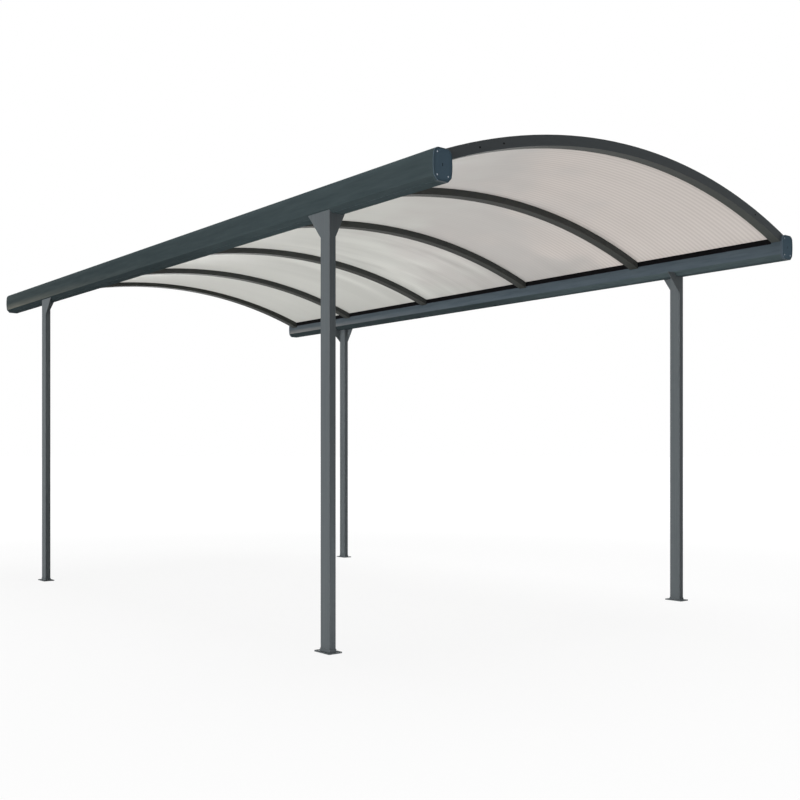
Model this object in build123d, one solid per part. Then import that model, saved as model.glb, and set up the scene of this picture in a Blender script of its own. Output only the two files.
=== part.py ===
from build123d import *
import math
import os

# A free-standing carport: two barrel-shaped gutter beams on four posts carry a
# vaulted roof of five bowed twin-wall panels between six arches.
# Millimetres. X runs across the width, Y along the length with the front at -Y,
# Z up from the ground, origin in the middle of the footprint.

# Overall sizes
length = 5000.0
width = 2860.0
headroom = 2070.0
arch_rise = 255.0

# Gutter beam section
gutter_width = 110.0
gutter_height = 140.0
gutter_wall = 2.5
gutter_waist = 75.0
crease_rise = 20.0
crease_inset = 5.0
keel_inset = 24.0
shoulder_radius = 30.0
lip_reach = 66.0
spring_inset = 69.0

# Gutter end caps
cap_thickness = 16.0
cap_edge = 1.5
cap_rim = 4.0
cap_recess = 3.0
cap_slot_length = 12.0
cap_slot_width = 4.0
cap_slot_depth = 3.0

# Vault
panel_thickness = 10.0
panel_drop = 20.0
panel_sag = 12.0
panel_reach = 50.0
panel_gap = 2.0
arch_depth = 50.0
end_arch_width = 56.0
upstand_width = 26.0
rib_shares = (0.2, 0.398, 0.616, 0.822)
rib_width = 62.0
rib_hang = 37.0
cover_thickness = 8.0
cover_web = 6.0
seal_thickness = 10.0
seal_recess = 1.0
seal_flap = 3.0
seal_lap = 8.0

# Posts, feet and head brackets
post_width = 38.0
post_depth = 72.0
post_wall = 2.0
post_corner = 3.0
post_inset = 10.0
post_setback = 724.0
foot_margin_x = 21.0
foot_margin_y = 24.0
foot_plate = 6.0
foot_corner = 4.0
collar_wall = 3.0
collar_height = 12.0
collar_root = 3.0
anchor_hole = 8.5
anchor_edge = 12.5
wing_plate = 3.0
wing_drop = 106.0
wing_rise = 20.0
left_along_reach = 103.0
left_inward_reach = 60.0
right_along_reach = 80.0
right_inward_reach = 128.0

# Room between pieces that meet, and the overrun of every cut
seat = 0.2
overrun = 50.0

# Worked out from the sizes above
half_width = width / 2
half_length = length / 2
gutter_top = headroom + gutter_height
inner_face_x = half_width - gutter_width
lip_end_x = half_width - lip_reach
spring_x = half_width - spring_inset
crown_z = gutter_top + arch_rise
panel_half = half_width - panel_reach
arch_half = lip_end_x - seat
gutter_end_y = half_length - cap_thickness
end_arch_face_y = gutter_end_y - seat
end_arch_back_y = end_arch_face_y - end_arch_width
upstand_back_y = end_arch_face_y - upstand_width
post_outer_x = half_width - post_inset
post_inner_x = post_outer_x - post_width
post_centre_x = (post_outer_x + post_inner_x) / 2
post_front_y = post_setback - half_length
post_back_y = post_front_y + post_depth
post_centre_y = (post_front_y + post_back_y) / 2


def circle_over(rise, top_z):
    """Radius and axis height of a circle that rises over the springing to a crown."""
    radius = (spring_x**2 + rise**2) / (2 * rise)
    return radius, top_z - radius


def lowered(circle, step):
    """The same circle about its axis, drawn in by a step."""
    radius, axis_z = circle
    return radius - step, axis_z


# The end arches bow a little more than the panels between them
arch_top = circle_over(arch_rise, crown_z)
arch_under = lowered(arch_top, arch_depth)
panel_top = circle_over(arch_rise - panel_sag, crown_z - panel_drop - panel_sag)
panel_under = lowered(panel_top, panel_thickness)
panel_bed = lowered(panel_under, seat)
cover_top = lowered(panel_top, -cover_thickness)
cover_bed = lowered(panel_top, -seat)
rib_under = lowered(panel_under, rib_hang)


def point(x, z):
    """A point of an upright section, in the plane across the carport."""
    return Vector(x, 0, z)


def run_along(face, y_from, y_to):
    """Carries a section across the carport from one place along its length to another."""
    return extrude(Pos(0, y_from, 0) * face, amount=y_to - y_from, dir=(0, 1, 0))


def height(circle, x):
    """Height of a vault circle at one place across the width."""
    radius, axis_z = circle
    return axis_z + math.sqrt(radius**2 - x**2)


def outline(*edges):
    """A flat face inside a closed line of edges."""
    return Face(Wire(list(edges)))


def polygon(*points):
    """A flat face inside straight lines."""
    return Face(Wire.make_polygon(list(points), close=True))


def bow(circle, half_span):
    """Arc of a vault circle from the left end to the right end of a span."""
    end_z = height(circle, half_span)
    crown = point(0, height(circle, 0))
    return Edge.make_three_point_arc(point(-half_span, end_z), crown, point(half_span, end_z))


def vault_band(upper, lower, half_span):
    """Section of a bowed band between two vault circles, with upright ends."""
    upper_end = height(upper, half_span)
    lower_end = height(lower, half_span)
    return outline(
        bow(upper, half_span),
        Edge.make_line(point(half_span, upper_end), point(half_span, lower_end)),
        bow(lower, half_span),
        Edge.make_line(point(-half_span, lower_end), point(-half_span, upper_end)),
    )


def barrel():
    """Outline of the right-hand gutter: keel, chamfers to a crease, bowed flanks, round shoulders."""
    waist_z = headroom + gutter_waist
    crease_z = headroom + crease_rise
    lower_chord = gutter_waist - crease_rise
    upper_chord = gutter_height - gutter_waist
    flank_radius = (lower_chord**2 + crease_inset**2) / (2 * crease_inset)
    head_inset = flank_radius - math.sqrt(flank_radius**2 - upper_chord**2)
    outer_keel = point(half_width - keel_inset, headroom)
    outer_crease = point(half_width - crease_inset, crease_z)
    outer_waist = point(half_width, waist_z)
    outer_head = point(half_width - head_inset, gutter_top)
    inner_keel = point(inner_face_x + keel_inset, headroom)
    inner_crease = point(inner_face_x + crease_inset, crease_z)
    inner_waist = point(inner_face_x, waist_z)
    inner_head = point(inner_face_x + head_inset, gutter_top)
    face = outline(
        Edge.make_line(inner_keel, outer_keel),
        Edge.make_line(outer_keel, outer_crease),
        Edge.make_three_point_arc(outer_crease, outer_waist, outer_head),
        Edge.make_line(outer_head, inner_head),
        Edge.make_three_point_arc(inner_head, inner_waist, inner_crease),
        Edge.make_line(inner_crease, inner_keel),
    )
    shoulders = face.vertices().sort_by(Axis.Z)[-2:]
    return fillet(shoulders, shoulder_radius)


def grown(face, step):
    """The same outline, larger by a step all round, or smaller by a negative one."""
    return offset(face, step, kind=Kind.INTERSECTION)


def slope_line(circle, x):
    """Height at x of the line that touches a vault circle over the gutter's inner wall."""
    radius, _ = circle
    touch_x = inner_face_x + gutter_wall / 2
    slope = -touch_x / math.sqrt(radius**2 - touch_x**2)
    return height(circle, touch_x) + slope * (x - touch_x)


def mouth(sink):
    """Section of the opening through which panels and arches reach into the gutter."""
    start_x = inner_face_x - overrun
    high_z = crown_z + overrun
    return polygon(
        point(lip_end_x, high_z),
        point(lip_end_x, slope_line(arch_under, lip_end_x) - sink),
        point(start_x, slope_line(arch_under, start_x) - sink),
        point(start_x, high_z),
    )


def mirrored(solid):
    """The same piece on the left-hand side."""
    return mirror(solid, about=Plane.YZ)


def at_back(shape):
    """The same piece at the rear end."""
    return mirror(shape, about=Plane.XZ)


def save(name, shape):
    """Writes one named piece."""
    export_step(shape, os.path.join("parts", name + ".step"))


def gutter_beam():
    """Right-hand gutter: a barrel extrusion, open along its upper inner side."""
    section = barrel() - grown(barrel(), -gutter_wall) - mouth(seat)
    return run_along(section, -gutter_end_y, gutter_end_y)


def gutter_envelope():
    """Solid outside of the gutter with its seat, for cutting what stands under it."""
    return run_along(grown(barrel(), seat), -half_length, half_length)


def gutter_wall_cutter():
    """Gutter wall with its seat on both sides, for the slots in the rib ends."""
    section = grown(barrel(), seat) - grown(barrel(), -gutter_wall - seat) - mouth(0)
    return run_along(section, -gutter_end_y, gutter_end_y)


def gutter_cap():
    """Right-hand front end cap: a raised rim round a recessed face with a small drain slot."""
    cap = run_along(barrel(), -half_length, -gutter_end_y)
    front_edges = cap.faces().sort_by(Axis.Y)[0].edges()
    cap = chamfer(front_edges, cap_edge)
    recess = run_along(grown(barrel(), -cap_rim), -half_length - overrun, cap_recess - half_length)
    centre = (half_width - gutter_width / 2, -half_length, headroom + gutter_height / 2)
    slot_reach = 2 * (cap_recess + cap_slot_depth)
    slot = Pos(*centre) * Box(cap_slot_width, slot_reach, cap_slot_length)
    return cap - recess - slot


def end_arch():
    """Front arch: a ledge under the edge of the first panel and an upstand before it."""
    ledge = run_along(vault_band(panel_bed, arch_under, arch_half), -end_arch_face_y, -end_arch_back_y)
    upstand = run_along(vault_band(arch_top, panel_bed, arch_half), -end_arch_face_y, -upstand_back_y)
    return ledge + upstand


def rib(line_y, wall_cutter):
    """Bowed bar under the joint of two panels, slotted over both gutter walls."""
    section = vault_band(panel_bed, rib_under, arch_half)
    bar = run_along(section, line_y - rib_width / 2, line_y + rib_width / 2)
    return bar - wall_cutter - mirrored(wall_cutter)


def rib_cover(line_y):
    """Clamping strip over the joint of two panels, with a web down to the rib."""
    strip = run_along(
        vault_band(cover_top, cover_bed, panel_half), line_y - rib_width / 2, line_y + rib_width / 2
    )
    web = run_along(
        vault_band(cover_bed, panel_under, arch_half), line_y - cover_web / 2, line_y + cover_web / 2
    )
    return strip + web


def end_cover():
    """Clamping strip beside the upstand of the front arch."""
    return run_along(
        vault_band(cover_top, cover_bed, arch_half), seat - upstand_back_y, -end_arch_back_y
    )


def roof_panel(y_from, y_to):
    """One bowed panel."""
    return run_along(vault_band(panel_top, panel_under, panel_half), y_from, y_to)


def eave_seal(spans):
    """Right-hand rubber strips from the gutter's inner wall to the panels, with a flap before the wall."""
    far_x = inner_face_x + seal_recess + seal_thickness
    wall_x = inner_face_x - seat
    near_x = wall_x - seal_flap
    lap_z = slope_line(arch_under, wall_x) - seal_lap
    section = polygon(
        point(near_x, lap_z),
        point(wall_x, lap_z),
        point(wall_x, slope_line(arch_under, wall_x)),
        point(far_x, slope_line(arch_under, far_x)),
        point(far_x, height(panel_bed, far_x)),
        point(near_x, height(panel_bed, near_x)),
    )
    strips = [run_along(section, y_from + seat, y_to - seat) for y_from, y_to in spans]
    return Compound(children=strips)


def post(envelope):
    """Right-hand front post: a rectangular tube scribed to the gutter's underside."""
    tall = headroom + wing_rise - foot_plate
    outer = RectangleRounded(post_width, post_depth, post_corner)
    inner = Rectangle(post_width - 2 * post_wall, post_depth - 2 * post_wall)
    tube = extrude(Pos(post_centre_x, post_centre_y, foot_plate) * (outer - inner), amount=tall)
    return tube - envelope


def foot():
    """Right-hand front foot: an anchored plate with a chamfered collar round the post."""
    plate_x = post_width + 2 * foot_margin_x
    plate_y = post_depth + 2 * foot_margin_y
    plate_face = Rectangle(plate_x, plate_y)
    plate = extrude(chamfer(plate_face.vertices(), foot_corner), amount=foot_plate)
    collar_x = post_width + 2 * (seat + collar_wall)
    collar_y = post_depth + 2 * (seat + collar_wall)
    collar = extrude(
        Pos(0, 0, foot_plate) * RectangleRounded(collar_x, collar_y, post_corner + collar_wall),
        amount=collar_height,
    )
    body = plate + collar
    root = body.edges().filter_by_position(Axis.Z, foot_plate, foot_plate)
    plate_edge_x = plate_x / 2 - collar_root
    plate_edge_y = plate_y / 2 - foot_margin_y / 2
    inside = [e for e in root if abs(e.center().X) < plate_edge_x and abs(e.center().Y) < plate_edge_y]
    body = chamfer(inside, collar_root)
    socket = extrude(
        Pos(0, 0, foot_plate)
        * RectangleRounded(post_width + 2 * seat, post_depth + 2 * seat, post_corner + seat),
        amount=collar_height + overrun,
    )
    reach_y = plate_y / 2 - anchor_edge
    holes = [Pos(0, side * reach_y, 0) * Cylinder(anchor_hole / 2, overrun) for side in (-1, 1)]
    return Pos(post_centre_x, post_centre_y, 0) * (body - socket - holes)


def head_bracket(along_reach, inward_reach, envelope):
    """Right-hand front bracket: one wing along the gutter and one across it, under the beam."""
    low_z = headroom - wing_drop
    high_z = headroom + wing_rise
    along_start = post_back_y + seat
    along = polygon(
        Vector(post_outer_x, along_start, low_z),
        Vector(post_outer_x, along_start, high_z),
        Vector(post_outer_x, along_start + along_reach, high_z),
    )
    along = extrude(along, amount=wing_plate, dir=(-1, 0, 0))
    inward_start = post_inner_x - seat
    inward = polygon(
        Vector(inward_start, post_front_y, low_z),
        Vector(inward_start, post_front_y, high_z),
        Vector(inward_start - inward_reach, post_front_y, high_z),
    )
    inward = extrude(inward, amount=wing_plate, dir=(0, 1, 0))
    return Compound(children=[*(along - envelope).solids(), *(inward - envelope).solids()])


os.makedirs("parts", exist_ok=True)

envelope = gutter_envelope()
wall_cutter = gutter_wall_cutter()
right_gutter = gutter_beam()
right_cap = gutter_cap()
right_post = post(envelope)
right_foot = foot()
right_bracket = head_bracket(right_along_reach, right_inward_reach, envelope)
left_bracket = mirrored(head_bracket(left_along_reach, left_inward_reach, envelope))

save("right_gutter", right_gutter)
save("left_gutter", mirrored(right_gutter))
for end, placed in (("front", lambda shape: shape), ("rear", at_back)):
    save(end + "_right_gutter_cap", placed(right_cap))
    save(end + "_left_gutter_cap", placed(mirrored(right_cap)))
    save(end + "_right_post", placed(right_post))
    save(end + "_left_post", placed(mirrored(right_post)))
    save(end + "_right_foot", placed(right_foot))
    save(end + "_left_foot", placed(mirrored(right_foot)))
    save(end + "_right_head_bracket", placed(right_bracket))
    save(end + "_left_head_bracket", placed(left_bracket))
    save(end + "_arch", placed(end_arch()))
    save(end + "_arch_cover", placed(end_cover()))

# Ribs and their covers stand on the lines between the bays
first_line_y = end_arch_width / 2 - end_arch_face_y
rib_ys = [first_line_y - 2 * first_line_y * share for share in rib_shares]
for number, line_y in enumerate(rib_ys, start=1):
    save(f"rib_{number}", rib(line_y, wall_cutter))
    save(f"rib_cover_{number}", rib_cover(line_y))

# Each panel lies between two webs, or between a web and an upstand
web_edge = cover_web / 2 + panel_gap
starts = [panel_gap - upstand_back_y] + [line_y + web_edge for line_y in rib_ys]
stops = [line_y - web_edge for line_y in rib_ys] + [upstand_back_y - panel_gap]
for number, (y_from, y_to) in enumerate(zip(starts, stops), start=1):
    save(f"roof_panel_{number}", roof_panel(y_from, y_to))

# The seals fill the space between the ribs under each panel edge
seal_starts = [-end_arch_back_y] + [line_y + rib_width / 2 for line_y in rib_ys]
seal_stops = [line_y - rib_width / 2 for line_y in rib_ys] + [end_arch_back_y]
right_seal = eave_seal(list(zip(seal_starts, seal_stops)))
save("right_eave_seal", right_seal)
save("left_eave_seal", mirrored(right_seal))
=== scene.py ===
"""Looks of a free-standing carport with a vaulted twin-wall roof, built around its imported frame.

Metres, +Z up, the front at -Y. The frame's own pieces keep their shape and place and get their
finishes here. The small fixings, a lip under the rear panel edge, the studio and the camera are added.
"""

import logging
import math
from abc import ABC, abstractmethod
from dataclasses import dataclass
from enum import Enum
from typing import Any

import bpy
import numpy as np
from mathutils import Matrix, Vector


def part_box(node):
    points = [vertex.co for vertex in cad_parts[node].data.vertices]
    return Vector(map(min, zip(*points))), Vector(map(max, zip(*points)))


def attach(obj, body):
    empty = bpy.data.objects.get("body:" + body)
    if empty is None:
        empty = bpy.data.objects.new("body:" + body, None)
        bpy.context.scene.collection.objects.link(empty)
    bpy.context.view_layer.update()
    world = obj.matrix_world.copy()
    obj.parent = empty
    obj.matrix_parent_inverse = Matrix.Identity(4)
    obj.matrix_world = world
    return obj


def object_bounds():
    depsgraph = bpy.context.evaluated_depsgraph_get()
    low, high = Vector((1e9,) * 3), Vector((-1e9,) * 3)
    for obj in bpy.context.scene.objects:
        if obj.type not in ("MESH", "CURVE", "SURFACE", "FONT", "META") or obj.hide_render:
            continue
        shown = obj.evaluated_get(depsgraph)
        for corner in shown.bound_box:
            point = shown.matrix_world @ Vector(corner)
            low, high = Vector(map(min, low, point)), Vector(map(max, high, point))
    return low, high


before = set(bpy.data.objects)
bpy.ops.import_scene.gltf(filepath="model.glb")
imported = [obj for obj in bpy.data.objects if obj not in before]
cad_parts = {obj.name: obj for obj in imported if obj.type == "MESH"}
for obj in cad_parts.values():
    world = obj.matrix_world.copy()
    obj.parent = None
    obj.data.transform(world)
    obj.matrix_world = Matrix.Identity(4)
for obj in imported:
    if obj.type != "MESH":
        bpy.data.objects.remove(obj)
cad_low, cad_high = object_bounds()

LOG = logging.getLogger("carport")
MM = 0.001
# Patterns are stretched from this range: most of a noise lies in it, a wave is clipped to it.
PATTERN_SPREAD = (0.3, 0.7)
# A wave texture repeats after this many of its own units.
WAVE_REPEAT = 2 * math.pi / 20
# An underside's tone begins this little above it.
UNDER_MARGIN = 0.5 * MM

Material = bpy.types.Material
Tree = bpy.types.NodeTree
Socket = bpy.types.NodeSocket
Triple = tuple[float, float, float]
ONES: Triple = (1.0, 1.0, 1.0)


class End(Enum):
    """The two ends of the carport, as directions along Y."""

    FRONT = -1
    REAR = 1


class Side(Enum):
    """The two long sides of the carport, as directions along X."""

    LEFT = -1
    RIGHT = 1


class Run(Enum):
    """Direction in which a bar was extruded, as the number of its axis."""

    ACROSS = 0
    ALONG = 1
    UP = 2


class Zone(Enum):
    """Zones of a gutter's surface, and ramps along it and up its flanks, that place the painted light
    and shade of its coat.
    """

    KEEL = "the flat bottom"
    INNER = "the half under the roof, without the keel"
    OUTER = "the other half, with the keel"
    UNDER = "below the crease"
    FLANK = "above the crease"
    # Ramps: painted shade up the inner flank, a painted highlight over the upper roll, a painted warm
    # reflection down to the crease that grows to the rear end, and painted shade from the front end and
    # past the front post.
    RISE = "growing up the inner flank"
    ROLL = "growing over the upper roll"
    WARM_SHEEN = "growing down to the crease"
    FADE = "growing from the front end"
    TURN = "growing past the front post"
    REAR = "growing to the rear end"


def linear(hex_colour: str) -> tuple[float, float, float, float]:
    """Turns sRGB to linear light: c / 12.92 near black, ((c + 0.055) / 1.055) ^ 2.4 above.

    Args:
        hex_colour: colour written as #rrggbb.

    Returns:
        Linear red, green, blue and an alpha of one.
    """
    channels = np.frombuffer(bytes.fromhex(hex_colour[1:]), dtype=np.uint8) / 255.0
    toe = channels / 12.92
    curve = ((channels + 0.055) / 1.055) ** 2.4
    return (*np.where(channels <= 0.04045, toe, curve).tolist(), 1.0)


def add_node(
    tree: Tree, kind: str, settings: dict[str, Any], feeds: dict[str | int, Any]
) -> bpy.types.Node:
    """Adds one node, sets its properties and feeds its inputs.

    A mix node takes its share at input 0 and its pair at 2 and 3 (numbers), 4 and 5 (vectors) or
    6 and 7 (colours).

    Args:
        tree: node tree that gets the node.
        kind: node type name.
        settings: property values by name.
        feeds: input values by socket name or number; a socket is linked, anything else is set.

    Returns:
        The new node.
    """
    node = tree.nodes.new(kind)
    for name, value in settings.items():
        setattr(node, name, value)
    for key, value in feeds.items():
        if isinstance(value, Socket):
            tree.links.new(value, node.inputs[key])
        else:
            node.inputs[key].default_value = value
    return node


def new_material(name: str) -> tuple[Material, Tree, Socket]:
    """Makes an empty node material.

    Args:
        name: the material's common name.

    Returns:
        The material, its tree, and the piece's own coordinates in that tree.
    """
    material = bpy.data.materials.new(name)
    material.use_nodes = True
    tree = material.node_tree
    tree.nodes.clear()
    return material, tree, add_node(tree, "ShaderNodeTexCoord", {}, {}).outputs["Object"]


def close_material(material: Material, shader: bpy.types.Node) -> Material:
    """Links a shader to the material's output.

    Args:
        material: the material to finish.
        shader: its last shader node.

    Returns:
        The same material.
    """
    add_node(material.node_tree, "ShaderNodeOutputMaterial", {}, {"Surface": shader.outputs[0]})
    return material


@dataclass(frozen=True, kw_only=True)
class Finish(ABC):
    """A matt coat or moulding: a tone of its own and a fine relief in the bump."""

    name: str
    roughness: float
    shine: float
    relief_mm: float
    relief_height_mm: float
    relief_detail: float
    relief_strength: float

    def material(self) -> Material:
        """Builds the finish from its tone and its relief.

        Returns:
            The finished material.
        """
        made, tree, place = new_material(self.name)
        relief = add_node(
            tree, "ShaderNodeTexNoise", {},
            {"Vector": place, "Scale": 1 / (self.relief_mm * MM), "Detail": self.relief_detail},
        )
        bump = add_node(
            tree, "ShaderNodeBump", {},
            {
                "Height": relief.outputs["Fac"],
                "Distance": self.relief_height_mm * MM,
                "Strength": self.relief_strength,
            },
        )
        shader = add_node(
            tree, "ShaderNodeBsdfPrincipled", {},
            {
                "Base Color": self._tone(tree, place),
                "Roughness": self.roughness,
                "Specular IOR Level": self.shine,
                "Normal": bump.outputs["Normal"],
            },
        )
        return close_material(made, shader)

    @abstractmethod
    def _tone(self, tree: Tree, place: Socket) -> Socket:
        """Makes the colour of the finish.

        Args:
            tree: node tree that gets the nodes.
            place: coordinates of the piece.

        Returns:
            The socket that carries the colour.
        """


@dataclass(frozen=True, kw_only=True)
class PowderCoat(Finish):
    """Powder-coated aluminium: sprayed and baked, so matt and even, with a faint orange-peel skin.

    Faint streaks follow the die lines of the extrusion under it. The real peel is 1 to 2 mm across
    and the die lines are finer still; both are drawn coarser so that they show at all.
    """

    colour: str
    streak: str
    run: Run
    roughness: float = 0.6
    shine: float = 0.15
    relief_mm: float = 5.0
    relief_height_mm: float = 0.12
    relief_detail: float = 2.0
    relief_strength: float = 0.6
    streak_mm: float = 14.0
    streak_length_mm: float = 900.0
    streak_detail: float = 3.0
    streak_roughness: float = 0.6

    def _tone(self, tree: Tree, place: Socket) -> Socket:
        """Mixes the two tones in streaks along the bar.

        Args:
            tree: node tree that gets the nodes.
            place: coordinates of the bar.

        Returns:
            The socket that carries the colour.
        """
        sizes = np.full(3, self.streak_mm * MM)
        sizes[self.run.value] = self.streak_length_mm * MM
        stretched = add_node(
            tree, "ShaderNodeMapping", {}, {"Vector": place, "Scale": (1 / sizes).tolist()}
        )
        streaks = add_node(
            tree, "ShaderNodeTexNoise", {},
            {
                "Vector": stretched.outputs[0],
                "Scale": 1.0,
                "Detail": self.streak_detail,
                "Roughness": self.streak_roughness,
            },
        )
        tone = add_node(
            tree, "ShaderNodeMix", {"data_type": "RGBA"},
            {0: streaks.outputs["Fac"], 6: linear(self.colour), 7: linear(self.streak)},
        )
        return tone.outputs[2]

    @staticmethod
    def _gained(tree: Tree, tone: Socket, shares: list[Socket], gain: Triple) -> Socket:
        """Multiplies a tone by 1 + s (gain - 1), s being the product of all shares.

        Args:
            tree: node tree that gets the nodes.
            tone: the colour before.
            shares: where, and how far, the gain holds.
            gain: factors of red, green and blue.

        Returns:
            The socket that carries the colour after.
        """
        share, *others = shares
        for other in others:
            share = add_node(
                tree, "ShaderNodeMath", {"operation": "MULTIPLY"}, {0: share, 1: other}
            ).outputs[0]
        factor = add_node(tree, "ShaderNodeMix", {"data_type": "VECTOR"}, {0: share, 4: ONES, 5: gain})
        return add_node(
            tree, "ShaderNodeVectorMath", {"operation": "MULTIPLY"}, {0: tone, 1: factor.outputs[1]}
        ).outputs[0]


@dataclass(frozen=True, kw_only=True)
class GutterCoatWithPaintedLight(PowderCoat):
    """Powder coat of the gutters, with the light and shade on their round flanks painted into it.

    Painted shade deepens the outer flank to the rear, a painted highlight runs along its upper roll,
    and painted light makes the inner flank, under the roof, bluer and lighter low down. Just above
    the crease a painted warm reflection makes both paler and warmer to the rear, and below it painted
    shade makes them darker. Heights are millimetres above the keel and lengths are shares of half
    the carport's length.
    """

    middle_x: float
    low_z: float
    half_length: float
    keel_mm: float = 0.5
    outer_crease_mm: float = 19.5
    inner_crease_mm: float = 27.5
    rise_mm: tuple[float, float] = (40.0, 120.0)
    roll_mm: tuple[float, float] = (100.0, 135.0)
    warm_sheen_mm: tuple[float, float] = (65.0, 25.0)
    warm_sheen_least: float = 0.12
    fade_shares: tuple[float, float] = (-1.0, 0.2)
    turn_shares: tuple[float, float] = (-0.4, -0.08)
    rear_shares: tuple[float, float] = (-0.4, 1.0)
    # Gains of painted light and shade: a lighter outer flank with painted shade to the rear and a
    # painted highlight on the roll, a lighter, bluer inner flank that darkens upwards, a painted warm
    # reflection above the crease at the rear, painted shade below the crease, a lighter inner underside
    # and a lighter keel.
    gains: tuple[tuple[tuple[Zone, ...], Triple], ...] = (
        ((Zone.FLANK, Zone.OUTER), (1.18, 1.18, 1.18)),
        ((Zone.FLANK, Zone.OUTER, Zone.FADE), (0.805, 0.805, 0.805)),
        ((Zone.FLANK, Zone.OUTER, Zone.ROLL), (1.22, 1.22, 1.22)),
        ((Zone.FLANK, Zone.INNER), (1.62, 1.56, 1.74)),
        ((Zone.FLANK, Zone.INNER, Zone.RISE), (0.852, 0.846, 0.828)),
        ((Zone.FLANK, Zone.WARM_SHEEN, Zone.REAR, Zone.REAR, Zone.REAR), (3.45, 2.6, 2.1)),
        ((Zone.UNDER, Zone.OUTER, Zone.TURN), (0.7, 0.7, 0.7)),
        ((Zone.UNDER, Zone.INNER), (1.45, 1.45, 1.45)),
        ((Zone.UNDER, Zone.INNER, Zone.TURN), (0.517, 0.517, 0.517)),
        ((Zone.KEEL,), (1.7, 1.7, 1.7)),
    )

    def _tone(self, tree: Tree, place: Socket) -> Socket:
        """Multiplies the streaked tone by the gains of painted light and shade, each in its zones.

        Args:
            tree: node tree that gets the nodes.
            place: coordinates of the gutter.

        Returns:
            The socket that carries the colour.
        """
        tone = super()._tone(tree, place)
        masks = self._masks(tree, place)
        for zones, gain in self.gains:
            tone = self._gained(tree, tone, [masks[zone] for zone in zones], gain)
        return tone

    def _masks(self, tree: Tree, place: Socket) -> dict[Zone, Socket]:
        """Makes a share from 0 to 1 for every zone and ramp.

        Args:
            tree: node tree that gets the nodes.
            place: coordinates of the gutter.

        Returns:
            The sockets that carry the shares.
        """
        axes = add_node(tree, "ShaderNodeSeparateXYZ", {}, {0: place})
        along, level = axes.outputs["Y"], axes.outputs["Z"]
        off = add_node(tree, "ShaderNodeMath", {"operation": "ABSOLUTE"}, {0: axes.outputs["X"]})
        keel, within = (
            add_node(
                tree, "ShaderNodeMath", {"operation": "LESS_THAN"}, {0: value, 1: limit}
            ).outputs[0]
            for value, limit in (
                (level, self.low_z + self.keel_mm * MM),
                (off.outputs[0], self.middle_x),
            )
        )
        inner = add_node(
            tree, "ShaderNodeMath", {"operation": "SUBTRACT", "use_clamp": True}, {0: within, 1: keel}
        ).outputs[0]
        crease = add_node(
            tree, "ShaderNodeMath", {"operation": "MULTIPLY_ADD"},
            {
                0: inner,
                1: (self.inner_crease_mm - self.outer_crease_mm) * MM,
                2: self.low_z + self.outer_crease_mm * MM,
            },
        )
        under = add_node(
            tree, "ShaderNodeMath", {"operation": "LESS_THAN"}, {0: level, 1: crease.outputs[0]}
        ).outputs[0]
        masks = {Zone.KEEL: keel, Zone.INNER: inner, Zone.UNDER: under}
        for zone, opposite in ((Zone.OUTER, inner), (Zone.FLANK, under)):
            masks[zone] = add_node(
                tree, "ShaderNodeMath", {"operation": "SUBTRACT"}, {0: 1.0, 1: opposite}
            ).outputs[0]
        for zone, value, base, unit, (first, last), least in (
            (Zone.RISE, level, self.low_z, MM, self.rise_mm, 0.0),
            (Zone.ROLL, level, self.low_z, MM, self.roll_mm, 0.0),
            (Zone.WARM_SHEEN, level, self.low_z, MM, self.warm_sheen_mm, self.warm_sheen_least),
            (Zone.FADE, along, 0.0, self.half_length, self.fade_shares, 0.0),
            (Zone.TURN, along, 0.0, self.half_length, self.turn_shares, 0.0),
            (Zone.REAR, along, 0.0, self.half_length, self.rear_shares, 0.0),
        ):
            masks[zone] = add_node(
                tree, "ShaderNodeMapRange", {},
                {
                    "Value": value,
                    "From Min": base + first * unit,
                    "From Max": base + last * unit,
                    "To Min": least,
                },
            ).outputs[0]
        return masks


@dataclass(frozen=True, kw_only=True)
class BowCoat(PowderCoat):
    """Powder coat of the bowed bars, with the light and shade of the underside painted in by a gain:
    warmer for the light from the ground, darker for shade.
    """

    axis_z: float
    under_radius: float
    painted_under_gain: Triple = (1.02, 0.98, 0.86)

    def _tone(self, tree: Tree, place: Socket) -> Socket:
        """Multiplies the streaked tone by the gain of painted light and shade on the underside, which
        lies nearest to the axis.

        Args:
            tree: node tree that gets the nodes.
            place: coordinates of the bar.

        Returns:
            The socket that carries the colour.
        """
        arm = add_node(
            tree, "ShaderNodeVectorMath", {"operation": "MULTIPLY_ADD"},
            {0: place, 1: (1.0, 0.0, 1.0), 2: (0.0, 0.0, -self.axis_z)},
        )
        length = add_node(tree, "ShaderNodeVectorMath", {"operation": "LENGTH"}, {0: arm.outputs[0]})
        under = add_node(
            tree, "ShaderNodeMath", {"operation": "LESS_THAN"},
            {0: length.outputs["Value"], 1: self.under_radius},
        )
        tone = super()._tone(tree, place)
        return self._gained(tree, tone, [under.outputs[0]], self.painted_under_gain)


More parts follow.
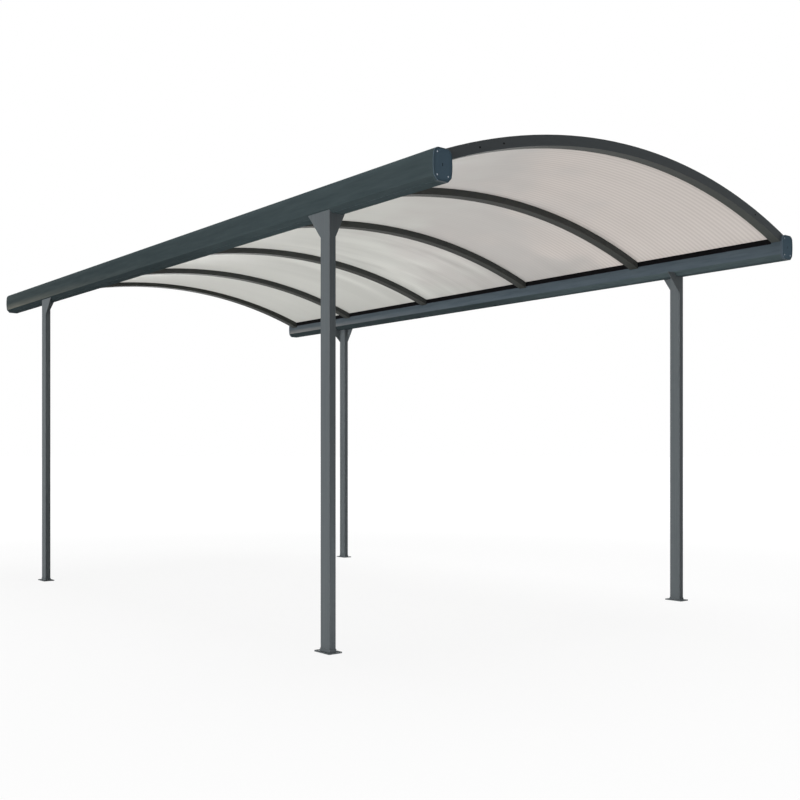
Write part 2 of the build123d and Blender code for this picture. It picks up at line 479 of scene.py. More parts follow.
@dataclass(frozen=True)
class TwinWallSheet:
    """Opal twin-wall polycarbonate: extruded and milky, so it glows evenly with the sky behind it.

    The tint drifts over the roof from a cool tone through a greyer, darker one to a warm one at the
    front right: painted light, the warm tone a painted reflection of the ground. The inner webs draw
    fine lines along the bow, strongest in the painted warm part and at the spacing that shows from
    the ground. Soft streaks run the same way, most right of the middle.
    """

    name: str = "opal twin-wall polycarbonate"
    cool: str = "#d2d2cf"
    grey: str = "#cdcbc9"
    warm_sheen: str = "#d3cfcc"
    warm_sheen_from: float = 0.5
    roughness: float = 0.45
    shine: float = 0.2
    clearness: float = 0.75
    # The drift of painted light over the roof: its start, slopes and bend in x and y, and a slow noise.
    drift_start: float = -0.10
    drift_slope: Triple = (0.478, -0.484, 0.0)
    drift_bend: Triple = (-0.148, 0.0, 0.0)
    drift_loose: float = 0.25
    drift_mm: float = 450.0
    drift_detail: float = 2.0
    web_mm: float = 30.0
    web_depth: float = 0.055
    web_faint: float = 0.25
    streak_mm: Triple = (1100.0, 140.0, 1100.0)
    streak_detail: float = 2.0
    streak_distortion: float = 0.4
    streak_range: tuple[float, float] = (0.94, 1.14)
    streak_middle: Triple = (0.65, 0.3, 2.35)
    streak_span: tuple[float, float] = (0.35, 1.1)
    streak_faint: float = 0.15
    # Painted shade towards the eaves, next to the gutters, where the warm tint is not.
    edge_span: tuple[float, float] = (0.8, 1.25)
    edge_shade: float = 0.945

    def material(self) -> Material:
        """Builds the sheet: the drifting tint, shaded by webs in its warm part and by streaks.

        Returns:
            The finished material.
        """
        made, tree, place = new_material(self.name)
        drift = self._drift(tree, place)
        greyed, warmed = (
            add_node(
                tree, "ShaderNodeMapRange", {"interpolation_type": "SMOOTHSTEP"},
                {"Value": drift, "From Min": first, "From Max": last},
            ).outputs[0]
            for first, last in ((0.0, self.warm_sheen_from), (self.warm_sheen_from, 1.0))
        )
        tint = linear(self.cool)
        for share, colour in ((greyed, self.grey), (warmed, self.warm_sheen)):
            tint = add_node(
                tree, "ShaderNodeMix", {"data_type": "RGBA"}, {0: share, 6: tint, 7: linear(colour)}
            ).outputs[2]
        colour = add_node(
            tree, "ShaderNodeMix", {"data_type": "RGBA", "blend_type": "MULTIPLY"},
            {0: 1.0, 6: tint, 7: self._shade(tree, place, warmed)},
        )
        skin = add_node(
            tree, "ShaderNodeBsdfPrincipled", {},
            {
                "Base Color": colour.outputs[2],
                "Roughness": self.roughness,
                "Specular IOR Level": self.shine,
            },
        )
        glow = add_node(tree, "ShaderNodeBsdfTranslucent", {}, {"Color": colour.outputs[2]})
        sheet = add_node(
            tree, "ShaderNodeMixShader", {},
            {0: self.clearness, 1: skin.outputs[0], 2: glow.outputs[0]},
        )
        return close_material(made, sheet)

    def _drift(self, tree: Tree, place: Socket) -> Socket:
        """Drift of the painted light's tint, 0 cool to 1 warm: start + slope . p + bend . p^2 and a
        slow noise.

        Args:
            tree: node tree that gets the nodes.
            place: coordinates of the sheet.

        Returns:
            The socket that carries the drift.
        """
        square = add_node(tree, "ShaderNodeVectorMath", {"operation": "MULTIPLY"}, {0: place, 1: place})
        noise = add_node(
            tree, "ShaderNodeTexNoise", {},
            {"Vector": place, "Scale": 1 / (self.drift_mm * MM), "Detail": self.drift_detail},
        )
        drift = add_node(
            tree, "ShaderNodeMapRange", {},
            {
                "Value": noise.outputs["Fac"],
                "From Min": PATTERN_SPREAD[0],
                "From Max": PATTERN_SPREAD[1],
                "To Min": self.drift_start - self.drift_loose,
                "To Max": self.drift_start + self.drift_loose,
            },
        ).outputs[0]
        for vector, factors in ((place, self.drift_slope), (square.outputs[0], self.drift_bend)):
            part = add_node(
                tree, "ShaderNodeVectorMath", {"operation": "DOT_PRODUCT"}, {0: vector, 1: factors}
            )
            drift = add_node(
                tree, "ShaderNodeMath", {"operation": "ADD"}, {0: drift, 1: part.outputs["Value"]}
            ).outputs[0]
        return drift

    def _shade(self, tree: Tree, place: Socket, warmed: Socket) -> Socket:
        """Shade about one: web lines times streaks times a slow painted shade towards the eaves.

        Args:
            tree: node tree that gets the nodes.
            place: coordinates of the sheet.
            warmed: share of the warm tint.

        Returns:
            The socket that carries the shade.
        """
        webs = add_node(
            tree, "ShaderNodeTexWave", {"bands_direction": "Y"},
            {"Vector": place, "Scale": WAVE_REPEAT / (self.web_mm * MM)},
        )
        stretched = add_node(
            tree, "ShaderNodeMapping", {},
            {"Vector": place, "Scale": [1 / (size * MM) for size in self.streak_mm]},
        )
        streaks = add_node(
            tree, "ShaderNodeTexNoise", {},
            {
                "Vector": stretched.outputs[0],
                "Scale": 1.0,
                "Detail": self.streak_detail,
                "Distortion": self.streak_distortion,
            },
        )
        distance = add_node(
            tree, "ShaderNodeVectorMath", {"operation": "DISTANCE"},
            {0: place, 1: self.streak_middle},
        )
        axes = add_node(tree, "ShaderNodeSeparateXYZ", {}, {0: place})
        off = add_node(tree, "ShaderNodeMath", {"operation": "ABSOLUTE"}, {0: axes.outputs["X"]})
        web_range = (1 - self.web_depth, 1 + self.web_depth)
        web, streak, lined, streaked, dim = (
            add_node(
                tree, "ShaderNodeMapRange", {"interpolation_type": kind},
                {"Value": value, "From Min": first, "From Max": last, "To Min": low, "To Max": high},
            ).outputs[0]
            for kind, value, (first, last), (low, high) in (
                ("LINEAR", webs.outputs["Fac"], PATTERN_SPREAD, web_range),
                ("LINEAR", streaks.outputs["Fac"], PATTERN_SPREAD, self.streak_range),
                ("LINEAR", warmed, (0.0, 1.0), (self.web_faint, 1.0)),
                ("SMOOTHSTEP", distance.outputs["Value"], self.streak_span, (1.0, self.streak_faint)),
                ("SMOOTHSTEP", off.outputs[0], self.edge_span, (1.0, self.edge_shade)),
            )
        )
        shade = add_node(
            tree, "ShaderNodeMix", {"data_type": "FLOAT"}, {0: warmed, 2: dim, 3: 1.0}
        ).outputs[0]
        for strength, pattern in ((lined, web), (streaked, streak)):
            part = add_node(
                tree, "ShaderNodeMix", {"data_type": "FLOAT"}, {0: strength, 2: 1.0, 3: pattern}
            )
            shade = add_node(
                tree, "ShaderNodeMath", {"operation": "MULTIPLY"}, {0: shade, 1: part.outputs[0]}
            ).outputs[0]
        return shade


@dataclass(frozen=True, kw_only=True)
class Moulding(Finish):
    """Something moulded: matt, with the fine grain of its mould."""

    relief_mm: float = 2.5
    relief_height_mm: float = 0.1
    relief_detail: float = 3.0
    relief_strength: float = 0.5


@dataclass(frozen=True, kw_only=True)
class Rubber(Moulding):
    """Extruded rubber: one colour, a little lighter on the grain."""

    colour: str
    grain_colour: str
    roughness: float = 0.8
    shine: float = 0.04

    def _tone(self, tree: Tree, place: Socket) -> Socket:
        """Mixes the two colours by the grain.

        Args:
            tree: node tree that gets the nodes.
            place: coordinates of the seal.

        Returns:
            The socket that carries the colour.
        """
        grain = add_node(
            tree, "ShaderNodeTexNoise", {},
            {"Vector": place, "Scale": 1 / (self.relief_mm * MM), "Detail": self.relief_detail},
        )
        return add_node(
            tree, "ShaderNodeMix", {"data_type": "RGBA"},
            {0: grain.outputs["Fac"], 6: linear(self.colour), 7: linear(self.grain_colour)},
        ).outputs[2]


@dataclass(frozen=True, kw_only=True)
class CapPolymer(Moulding):
    """Moulded polymer of the end caps: a blue-grey face, its lighter blue partly a painted reflection
    of the sky in front, and a skirt close to the gutter's coat, painted lighter on the inner side.
    """

    face: str
    skirt: str
    inner_skirt: str
    rim: str
    face_at: float
    inner_within: float
    face_within: float = 0.4 * MM
    roughness: float = 0.55
    shine: float = 0.03

    def _tone(self, tree: Tree, place: Socket) -> Socket:
        """Gives skirt, recessed face and rim each its colour by |y|, and the skirt two by |x|, the
        inner one painted light.

        Args:
            tree: node tree that gets the nodes.
            place: coordinates of the cap.

        Returns:
            The socket that carries the colour.
        """
        axes = add_node(tree, "ShaderNodeSeparateXYZ", {}, {0: place})
        off, far = (
            add_node(
                tree, "ShaderNodeMath", {"operation": "ABSOLUTE"}, {0: axes.outputs[axis]}
            ).outputs[0]
            for axis in ("X", "Y")
        )
        tone = linear(self.skirt)
        for test, value, limit, colour in (
            ("LESS_THAN", off, self.inner_within, self.inner_skirt),
            ("GREATER_THAN", far, self.face_at - self.face_within, self.face),
            ("GREATER_THAN", far, self.face_at + self.face_within, self.rim),
        ):
            share = add_node(tree, "ShaderNodeMath", {"operation": test}, {0: value, 1: limit})
            tone = add_node(
                tree, "ShaderNodeMix", {"data_type": "RGBA"},
                {0: share.outputs[0], 6: tone, 7: linear(colour)},
            ).outputs[2]
        return tone


@dataclass(frozen=True)
class ScrewSteel:
    """Plated steel: bright or blackened, a little rough where the plating is crystalline."""

    name: str
    colour: str
    roughness: float
    roughness_spread: float = 0.2
    plating_mm: float = 1.5

    def material(self) -> Material:
        """Builds the steel: roughness broken up by fine plating crystals.

        Returns:
            The finished material.
        """
        made, tree, place = new_material(self.name)
        crystals = add_node(
            tree, "ShaderNodeTexNoise", {}, {"Vector": place, "Scale": 1 / (self.plating_mm * MM)}
        )
        dull = add_node(
            tree, "ShaderNodeMapRange", {},
            {
                "Value": crystals.outputs["Fac"],
                "To Min": self.roughness * (1 - self.roughness_spread),
                "To Max": self.roughness * (1 + self.roughness_spread),
            },
        )
        shader = add_node(
            tree, "ShaderNodeBsdfPrincipled", {},
            {"Base Color": linear(self.colour), "Metallic": 1.0, "Roughness": dull.outputs[0]},
        )
        return close_material(made, shader)


def ring_faces(rings: int, sides: int, copies: int = 1) -> list[list[int]]:
    """Faces of closed stacks of rings: quads between rings and one flat face at each end.

    Args:
        rings: number of rings in a stack, from the seated end to the free end.
        sides: points in each ring.
        copies: number of like stacks whose points follow each other.

    Returns:
        Faces as lists of point numbers, pointing outwards for rings that turn counter-clockwise.
    """
    first = np.arange((rings - 1) * sides).reshape(rings - 1, sides)
    beside = np.roll(first, -1, axis=1)
    quads = np.stack([first, beside, beside + sides, first + sides], axis=-1).reshape(-1, 4)
    seated = np.arange(sides)[::-1]
    free = np.arange((rings - 1) * sides, rings * sides)
    faces = [*quads, seated, free]
    return [(face + rings * sides * copy).tolist() for copy in range(copies) for face in faces]


def add_piece(
    name: str,
    points: np.ndarray,
    faces: list[list[int]],
    material: Material,
    slot: str | None = None,
) -> None:
    """Makes a mesh piece that rides on the frame.

    Args:
        name: the piece's name.
        points: its points, one row each, in the frame's coordinates.
        faces: its faces as lists of point numbers.
        material: its finish.
        slot: the record's material slot that it shares, where it has one; not used.
    """
    mesh = bpy.data.meshes.new(name)
    mesh.from_pydata(points.reshape(-1, 3).tolist(), [], faces)
    mesh.materials.append(material)
    piece = bpy.data.objects.new(name, mesh)
    bpy.context.scene.collection.objects.link(piece)
    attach(piece, "root")
    LOG.info("%s: %d points, %d faces", name, len(mesh.vertices), len(mesh.polygons))


def dress(nodes: list[str], material: Material) -> None:
    """Gives frame nodes their finish.

    Args:
        nodes: node names.
        material: the finish they share.
    """
    for name in nodes:
        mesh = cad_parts[name].data
        mesh.materials.clear()
        mesh.materials.append(material)
        LOG.info("%s: %s", name, material.name)


def node_points(node: str) -> np.ndarray:
    """Reads the points of a frame node.

    Args:
        node: node name.

    Returns:
        Its points, one row each.
    """
    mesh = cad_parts[node].data
    points = np.empty(3 * len(mesh.vertices))
    mesh.vertices.foreach_get("co", points)
    return points.reshape(-1, 3)


@dataclass(frozen=True)
class Bow:
    """Upper arc of a bowed frame piece: a circle about an axis along Y."""

    radius: float
    axis_z: float
    middle_y: float
    front_y: float
    rear_y: float

    @classmethod
    def of(cls, node: str) -> "Bow":
        """Circle through crown and upper end corners: (s^2 + h^2) / 2h for half span s and rise h.

        Args:
            node: name of the bowed piece.

        Returns:
            Its upper arc.
        """
        points = node_points(node)
        span, crown = points[:, 0].max(), points[:, 2].max()
        rise = crown - points[points[:, 0] > span - MM, 2].max()
        radius = (span**2 + rise**2) / (2 * rise)
        front, rear = points[:, 1].min(), points[:, 1].max()
        return cls(radius, crown - radius, (front + rear) / 2, front, rear)

    def height(self, across: np.ndarray, sunk: float) -> np.ndarray:
        """Height of the arc lowered towards its axis: axis + sqrt((radius - sunk)^2 - x^2).

        Args:
            across: places across the width.
            sunk: depth below the arc.

        Returns:
            The heights there.
        """
        return self.axis_z + np.sqrt((self.radius - sunk) ** 2 - across**2)

    def places(self, across: np.ndarray, y: float, sunk: float) -> tuple[np.ndarray, np.ndarray]:
        """Points under the arc: axis + (radius - sunk) n, n = (a, 0, sqrt(1 - a^2)), a = x / radius.

        Args:
            across: places across the width, on the arc.
            y: place along the length.
            sunk: depth below the arc.

        Returns:
            The points, and the outward directions there.
        """
        share = across / self.radius
        outward = np.stack([share, np.zeros_like(share), np.sqrt(1 - share**2)], axis=-1)
        middle = np.array([0.0, y, self.axis_z])
        return middle + (self.radius - sunk) * outward, outward


@dataclass(frozen=True)
class ScrewHead:
    """Button-headed screw with a hexagon socket."""

    radius: float = 4.2 * MM
    height: float = 2.6 * MM
    socket_radius: float = 1.7 * MM
    socket_depth: float = 1.4 * MM
    sunk: float = 0.6 * MM
    rim_share: float = 0.35
    brow_share: float = 1.25
    dome_degrees: Triple = (25.0, 50.0, 70.0)
    sides: int = 24
    steepest: float = 0.9

    def points(self) -> np.ndarray:
        """Rings of the head about +Z: radius r(s), height z(s), and a hexagon in the socket.

        In the socket a ring's radius is divided by cos(a), a being the angle from the middle of
        the hexagon's nearest side, so that the ring becomes the hexagon round its circle.

        Returns:
            Points as rings by sides by three.
        """
        dome = np.radians(self.dome_degrees)
        rim = self.height * self.rim_share
        brow = self.socket_radius * self.brow_share
        radius = np.concatenate([
            [self.radius, self.radius],
            brow + (self.radius - brow) * np.cos(dome),
            [self.socket_radius, self.socket_radius],
        ])
        height = np.concatenate([
            [-self.sunk, rim],
            rim + (self.height - rim) * np.sin(dome),
            [self.height, self.height - self.socket_depth],
        ])
        hexed = np.concatenate([np.zeros(len(dome) + 2), [1.0, 1.0]])
        turn = np.linspace(0, 2 * np.pi, self.sides, endpoint=False)
        corner = 1 / np.cos((turn % (np.pi / 3)) - np.pi / 6)
        reach = radius[:, None] * (1 + hexed[:, None] * (corner[None, :] - 1))
        level = np.repeat(height[:, None], self.sides, 1)
        return np.stack([reach * np.cos(turn), reach * np.sin(turn), level], -1)

    def row(self, places: np.ndarray, axes: np.ndarray) -> tuple[np.ndarray, list[list[int]]]:
        """Sets the head at many places: place + x u + y v + z axis, u and v square to the axis.

        Args:
            places: seats of the heads, one row each.
            axes: outward directions, one row each.

        Returns:
            All points, and all faces.
        """
        shape = self.points()
        rings, sides, _ = shape.shape
        axes = axes / np.linalg.norm(axes, axis=1, keepdims=True)
        flat = np.abs(axes[:, 2:]) < self.steepest
        helper = np.where(flat, [[0.0, 0.0, 1.0]], [[0.0, 1.0, 0.0]])
        across = np.cross(helper, axes)
        across /= np.linalg.norm(across, axis=1, keepdims=True)
        up = np.cross(axes, across)
        turned = np.stack([across, up, axes], axis=1)
        points = places[:, None, :] + np.einsum("pk,nkj->npj", shape.reshape(-1, 3), turned)
        return points, ring_faces(rings, sides, len(places))


@dataclass(frozen=True)
class Gutters:
    """The two gutter beams and the seals on them."""

    coat: GutterCoatWithPaintedLight
    rubber: Rubber

    def build(self) -> None:
        """Dresses both beams and seals."""
        dress([f"{side.name}_gutter".lower() for side in Side], self.coat.material())
        dress([f"{side.name}_eave_seal".lower() for side in Side], self.rubber.material())


@dataclass(frozen=True)
class GutterCaps:
    """The four end caps: moulded faces, each held by three bright screws inside its rim."""

    polymer: CapPolymer
    steel: ScrewSteel
    screw: ScrewHead = ScrewHead(radius=3.6 * MM, height=2.2 * MM)
    recess: float = 3 * MM
    side_margin: float = 24 * MM
    low_margin: float = 24 * MM
    top_margin: float = 20 * MM
    inner_skirt: float = 25 * MM

    def build(self) -> None:
        """Dresses the caps and sets their screws: two low, one high on the -X side."""
        moulded = self.polymer.material()
        bright = self.steel.material()
        for end in End:
            for side in Side:
                node = f"{end.name}_{side.name}_gutter_cap".lower()
                dress([node], moulded)
                low, high = (np.array(corner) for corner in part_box(node))
                left, right = low[0] + self.side_margin, high[0] - self.side_margin
                face_y = (low[1] if end is End.FRONT else high[1]) - end.value * self.recess
                bottom, top = low[2] + self.low_margin, high[2] - self.top_margin
                spots = ((left, bottom), (right, bottom), (left, top))
                places = np.array([[x, face_y, z] for x, z in spots])
                axes = np.tile([0.0, float(end.value), 0.0], (len(places), 1))
                add_piece(f"{node}_screws", *self.screw.row(places, axes), bright)


@dataclass(frozen=True)
class Posts:
    """The four posts with their feet and head brackets, whose wings are welded flush to the posts."""

    coat: PowderCoat
    corner: float = 3 * MM
    reach: float = 1 * MM

    def build(self) -> None:
        """Dresses every post, foot and bracket and lays the weld seams."""
        coated = self.coat.material()
        for end in End:
            for side in Side:
                name = f"{end.name}_{side.name}".lower()
                dress([f"{name}_{part}" for part in ("post", "foot", "head_bracket")], coated)
                seams = np.stack([
                    self._seam(name, (side.value, -end.value), flat_axis=0),
                    self._seam(name, (-side.value, end.value), flat_axis=1),
                ])
                count, rings, sides, _ = seams.shape
                faces = ring_faces(rings, sides, count)
                add_piece(f"{name}_weld_seams", seams, faces, coated, "coated_aluminium")

    def _seam(self, name: str, edge: tuple[int, int], flat_axis: int) -> np.ndarray:
        """Three-sided bar that fills the round corner between a post's flat and a wing flush with it.

        Args:
            name: the post's corner of the carport.
            edge: the post's edge that the wing leaves from, as signs along X and Y.
            flat_axis: axis square to the flat, 0 for X and 1 for Y.

        Returns:
            The lower and the upper ring of three points.
        """
        low, high = (np.array(corner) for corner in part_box(f"{name}_post"))
        signs = np.array(edge)
        tip = np.where(signs > 0, high[:2], low[:2])
        near = node_points(f"{name}_head_bracket")
        near = near[np.abs(near[:, :2] - tip).max(axis=1) < self.reach]
        along = np.eye(2)[1 - flat_axis] * signs
        inward = -np.eye(2)[flat_axis] * signs
        gap = np.abs((near[:, :2] - tip) @ along).max()
        profile = np.array([
            tip - along * self.corner,
            tip + along * gap,
            tip + inward * self.corner,
        ])
        first, second = profile[1] - profile[0], profile[2] - profile[0]
        if first[0] * second[1] < first[1] * second[0]:
            profile = profile[::-1]
        levels = (near[:, 2].min(), near[:, 2].max())
        return np.stack([np.c_[profile, np.full(len(profile), level)] for level in levels])


@dataclass(frozen=True)
class Arches:
    """The two end arches with their cover strips, the screws in their faces and the rear lip."""

    coat: BowCoat
    lip_coat: PowderCoat
    steel: ScrewSteel
    screw: ScrewHead = ScrewHead(radius=4.5 * MM, height=1.2 * MM, socket_depth=1.0 * MM)
    screw_sunk: float = 27 * MM
    screw_places: Triple = (-1.15, -1.0, 1.06)
    depth: float = 50 * MM
    lip_width: float = 60 * MM
    lip_hang: float = 22 * MM
    lip_half: float = 1.318
    lip_steps: int = 60
    panel_thickness: float = 10 * MM

    def build(self) -> None:
        """Dresses both arches, sets the screws a little below their upper edge and adds the lip."""
        coated = self.coat.material()
        black = self.steel.material()
        for end in End:
            node = f"{end.name}_arch".lower()
            dress([node, f"{node}_cover"], coated)
            bow = Bow.of(node)
            face_y = bow.front_y if end is End.FRONT else bow.rear_y
            places, _ = bow.places(np.array(self.screw_places), face_y, self.screw_sunk)
            axes = np.tile([0.0, float(end.value), 0.0], (len(places), 1))
            add_piece(f"{node}_screws", *self.screw.row(places, axes), black)
        add_piece("rear_arch_lip", *self._lip(), self.lip_coat.material(), "coated_aluminium")

    def _lip(self) -> tuple[np.ndarray, list[list[int]]]:
        """Lip inside the rear arch: a four-sided bar from the panel down to an arc below the arch.

        Returns:
            Its points and faces.
        """
        arch, panel = Bow.of("rear_arch"), Bow.of("roof_panel_5")
        across = np.linspace(-self.lip_half, self.lip_half, self.lip_steps + 1)
        low = arch.height(across, self.depth + self.lip_hang)
        high = panel.height(across, self.panel_thickness)
        near, far = arch.front_y - self.lip_width, arch.front_y
        edges = [
            np.stack([across, np.full_like(across, y), z], axis=-1)
            for y, z in ((near, low), (far, low), (far, high), (near, high))
        ]
        return np.stack(edges, axis=1), ring_faces(len(across), len(edges))


@dataclass(frozen=True)
class Ribs:
    """The ribs under the panel joints and the screwed cover strips over joints and edges."""

    coat: BowCoat
    steel: ScrewSteel
    screw: ScrewHead = ScrewHead(radius=5.5 * MM, height=3.4 * MM, socket_radius=2.2 * MM)
    rib_count: int = 4
    hang: float = 37 * MM
    screw_reach: float = 1.2
    screw_step: float = 0.3

    def build(self) -> None:
        """Dresses ribs and strips and sets a row of screws along each strip."""
        coated = self.coat.material()
        bright = self.steel.material()
        numbers = range(1, self.rib_count + 1)
        strips = [f"rib_cover_{number}" for number in numbers]
        dress([f"rib_{number}" for number in numbers], coated)
        dress(strips, coated)
        stop = self.screw_reach + self.screw_step / 2
        across = np.arange(-self.screw_reach, stop, self.screw_step)
        for strip in strips + [f"{end.name}_arch_cover".lower() for end in End]:
            bow = Bow.of(strip)
            places, axes = bow.places(across, bow.middle_y, 0.0)
            add_piece(f"{strip}_screws", *self.screw.row(places, axes), bright)


@dataclass(frozen=True)
class Roofing:
    """The bowed panels."""

    sheet: TwinWallSheet
    panel_count: int = 5

    def build(self) -> None:
        """Dresses the panels."""
        numbers = range(1, self.panel_count + 1)
        dress([f"roof_panel_{number}" for number in numbers], self.sheet.material())


@dataclass(frozen=True)
class Softbox:
    """A large lamp: where it stands, what it is aimed at, its size and its level on a sheet there."""

    name: str
    place: Triple
    aim: Triple
    size: tuple[float, float]
    level: float
    spares_floor: bool = False

    def build(self, off_floor: bpy.types.Collection) -> None:
        """Makes the lamp; a level of one lights a white sheet at the aim to white: pi^2 d^2 watts.

        Args:
            off_floor: collection that keeps a lamp off the floor.
        """
        data = bpy.data.lights.new(self.name, "AREA")
        data.shape = "RECTANGLE"
        data.size, data.size_y = self.size
        throw = Vector(self.aim) - Vector(self.place)
        data.energy = self.level * (math.pi * throw.length) ** 2
        lamp = bpy.data.objects.new(self.name, data)
        lamp.location = self.place
        lamp.rotation_euler = throw.to_track_quat("-Z", "Y").to_euler()
        lamp.visible_camera = False
        if self.spares_floor:
            lamp.light_linking.receiver_collection = off_floor
        bpy.context.scene.collection.objects.link(lamp)


@dataclass(frozen=True)
class Studio:
    """Plain white studio: a pale floor, soft lamps and an even sky."""

    lamps: tuple[Softbox, ...]
    sky_level: float
    floor_colour: str
    white: str = "#ffffff"
    floor_reach: float = 300.0
    floor_white_share: float = 0.86
    floor_white_level: float = 1.06
    floor_white_from: float = 3.0
    floor_white_to: float = 9.0

    def build(self) -> None:
        """Makes floor, sky and lamps."""
        off_floor = bpy.data.collections.new("off the floor")
        off_floor.objects.link(self._floor())
        off_floor.collection_objects[0].light_linking.link_state = "EXCLUDE"
        self._sky()
        for lamp in self.lamps:
            lamp.build(off_floor)

    def _floor(self) -> bpy.types.Object:
        """A flat square z = 0: white to the camera with a faint shadow near the object.

        Returns:
            The floor.
        """
        corners = np.array([[-1.0, -1.0], [1.0, -1.0], [1.0, 1.0], [-1.0, 1.0]]) * self.floor_reach
        mesh = bpy.data.meshes.new("floor")
        mesh.from_pydata(np.c_[corners, np.zeros(len(corners))].tolist(), [], [[0, 1, 2, 3]])
        made, tree, place = new_material("studio floor")
        matt = add_node(tree, "ShaderNodeBsdfDiffuse", {}, {"Color": linear(self.floor_colour)})
        white = add_node(
            tree, "ShaderNodeEmission", {},
            {"Color": linear(self.white), "Strength": self.floor_white_level},
        )
        away = add_node(tree, "ShaderNodeVectorMath", {"operation": "LENGTH"}, {0: place})
        whitened = add_node(
            tree, "ShaderNodeMapRange", {"interpolation_type": "SMOOTHSTEP"},
            {
                "Value": away.outputs["Value"],
                "From Min": self.floor_white_from,
                "From Max": self.floor_white_to,
                "To Min": self.floor_white_share,
            },
        )
        share = add_node(
            tree, "ShaderNodeMath", {"operation": "MULTIPLY"},
            {0: self._seen(tree), 1: whitened.outputs[0]},
        )
        mixed = add_node(
            tree, "ShaderNodeMixShader", {},
            {0: share.outputs[0], 1: matt.outputs[0], 2: white.outputs[0]},
        )
        mesh.materials.append(close_material(made, mixed))
        floor = bpy.data.objects.new("floor", mesh)
        bpy.context.scene.collection.objects.link(floor)
        return floor

    @staticmethod
    def _seen(tree: Tree) -> Socket:
        """One where a ray comes from the camera, a gloss or a clear sheet.

        Args:
            tree: node tree that gets the nodes.

        Returns:
            The socket that carries it.
        """
        path = add_node(tree, "ShaderNodeLightPath", {}, {})
        seen = path.outputs["Is Camera Ray"]
        for kind in ("Is Glossy Ray", "Is Transmission Ray"):
            seen = add_node(
                tree, "ShaderNodeMath", {"operation": "MAXIMUM"}, {0: seen, 1: path.outputs[kind]}
            ).outputs[0]
        return seen

    def _sky(self) -> None:
        """An even sky: white where it is seen, at the light's own level elsewhere."""
        world = bpy.data.worlds.new("studio sky")
        world.use_nodes = True
        tree = world.node_tree
        tree.nodes.clear()
        level = add_node(
            tree, "ShaderNodeMapRange", {},
            {"Value": self._seen(tree), "To Min": self.sky_level},
        )
        light = add_node(
            tree, "ShaderNodeBackground", {},
            {"Color": linear(self.white), "Strength": level.outputs[0]},
        )
        add_node(tree, "ShaderNodeOutputWorld", {}, {"Surface": light.outputs[0]})
        bpy.context.scene.world = world


@dataclass(frozen=True)
class Viewpoint:
    """Level camera of the photograph, its picture plane shifted as the picture was cropped."""

    picture_px: float = 800.0
    sensor_mm: float = 36.0
    focal_px: float = 1016.65
    centre_px: tuple[float, float] = (345.0, 454.5)
    heading: float = 0.6623
    place: Triple = (-4.2948, -5.5807, 0.9348)

    def build(self) -> None:
        """Makes the camera and sets the scene to look through it."""
        data = bpy.data.cameras.new("camera")
        data.sensor_width = self.sensor_mm
        data.lens = self.focal_px / self.picture_px * self.sensor_mm
        data.shift_x = 0.5 - self.centre_px[0] / self.picture_px
        data.shift_y = self.centre_px[1] / self.picture_px - 0.5
        camera = bpy.data.objects.new("camera", data)
        camera.location = self.place
        camera.rotation_euler = (math.pi / 2, 0.0, -self.heading)
        bpy.context.scene.collection.objects.link(camera)
        bpy.context.scene.camera = camera


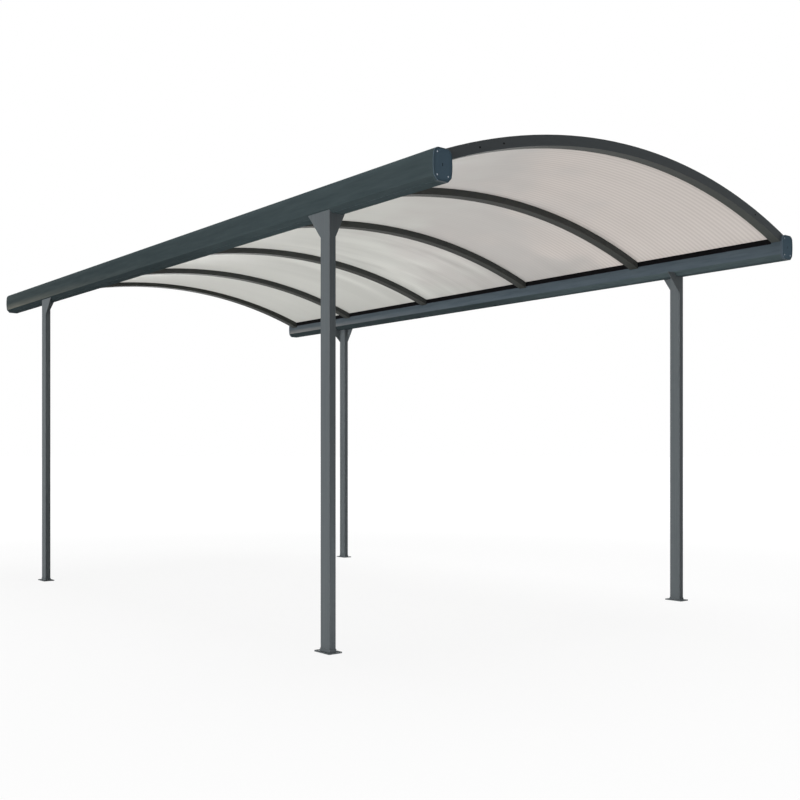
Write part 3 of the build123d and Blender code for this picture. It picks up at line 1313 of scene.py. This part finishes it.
def main() -> None:
    """Builds the finishes, the sub-assemblies and the studio in order."""
    logging.basicConfig(level=logging.INFO, format="%(message)s")
    bpy.context.scene.view_settings.view_transform = "Standard"
    zinc = ScrewSteel("zinc-plated steel", "#aab1b9", roughness=0.4)
    blackened = ScrewSteel("blackened steel", "#0c0d0e", roughness=0.6)
    gutter_low, gutter_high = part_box("right_gutter")
    Gutters(
        # The gutter coat paints the light and shade of the flanks into its colour.
        coat=GutterCoatWithPaintedLight(
            name="slate powder-coated aluminium", colour="#333d40", streak="#475153", run=Run.ALONG,
            shine=0.0, streak_mm=24.0, streak_length_mm=260.0,
            middle_x=(gutter_low[0] + gutter_high[0]) / 2, low_z=gutter_low[2],
            half_length=cad_high[1],
        ),
        rubber=Rubber(name="black rubber", colour="#0a0a0c", grain_colour="#0f0f11"),
    ).build()
    cap_low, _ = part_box("front_right_gutter_cap")
    GutterCaps(
        polymer=CapPolymer(
            name="blue-grey moulded polymer", face="#5e7483", rim="#52626c",
            # The inner skirt is painted lighter for the light under the roof; the face's lighter blue
            # is partly a painted reflection of the sky.
            skirt="#404b4e", inner_skirt="#4e5861",
            face_at=cad_high[1] - GutterCaps.recess,
            inner_within=cap_low[0] + GutterCaps.inner_skirt,
        ),
        steel=zinc,
    ).build()
    Posts(
        coat=PowderCoat(
            name="grey powder-coated aluminium", colour="#545a5d", streak="#666c6f", run=Run.UP,
            streak_mm=8.0,
        )
    ).build()
    arch = Bow.of("front_arch")
    Arches(
        # The arches' undersides keep the default gain: painted warm light from the ground.
        coat=BowCoat(
            name="anthracite powder-coated aluminium", colour="#4a4f52", streak="#515658",
            run=Run.ACROSS, axis_z=arch.axis_z,
            under_radius=arch.radius - Arches.depth + UNDER_MARGIN,
        ),
        lip_coat=PowderCoat(
            # Darker than the arches' coat: painted shade on the lip, under the rear edge of the roof.
            name="black-grey powder-coated aluminium", colour="#363836", streak="#3c3d3a",
            run=Run.ACROSS,
        ),
        steel=blackened,
    ).build()
    panel = Bow.of("roof_panel_1")
    Ribs(
        coat=BowCoat(
            # Darker than the arches' coat: painted shade for the ribs under the roof; the cover strips
            # on top share it.
            name="dark powder-coated aluminium", colour="#3f4140", streak="#454745",
            run=Run.ACROSS, axis_z=panel.axis_z,
            under_radius=panel.radius - Arches.panel_thickness - Ribs.hang + UNDER_MARGIN,
            # Undersides darker and warmer still: painted shade.
            painted_under_gain=(0.84, 0.83, 0.78),
        ),
        steel=zinc,
    ).build()
    Roofing(sheet=TwinWallSheet()).build()
    Studio(
        lamps=(
            Softbox("overhead softbox", (4.0, 0.0, 20.0), (0.0, 0.0, 2.4), (12.0, 12.0), level=0.8),
            Softbox("left softbox", (-20.0, 0.0, 0.85), (0.0, 0.0, 0.85), (20.0, 1.7), level=0.7),
            Softbox(
                "rear softbox", (12.0, 14.0, 1.2), (0.0, 0.0, 1.2), (12.0, 2.4),
                level=0.4, spares_floor=True,
            ),
            Softbox(
                "floor fill", (-0.7, 0.0, 0.03), (1.38, 0.0, 2.15), (4.8, 1.0),
                level=0.25, spares_floor=True,
            ),
            Softbox(
                "front fill", (-0.6, -3.3, 0.03), (-0.6, -1.8, 0.3), (3.0, 0.5),
                level=0.35, spares_floor=True,
            ),
            Softbox(
                "foot fill", (-1.4, -2.6, 0.2), (-1.4, -1.78, 0.3), (0.6, 0.3),
                level=0.35, spares_floor=True,
            ),
        ),
        sky_level=0.15,
        floor_colour="#cccccc",
    ).build()
    Viewpoint().build()


if __name__ == "__main__":
    main()
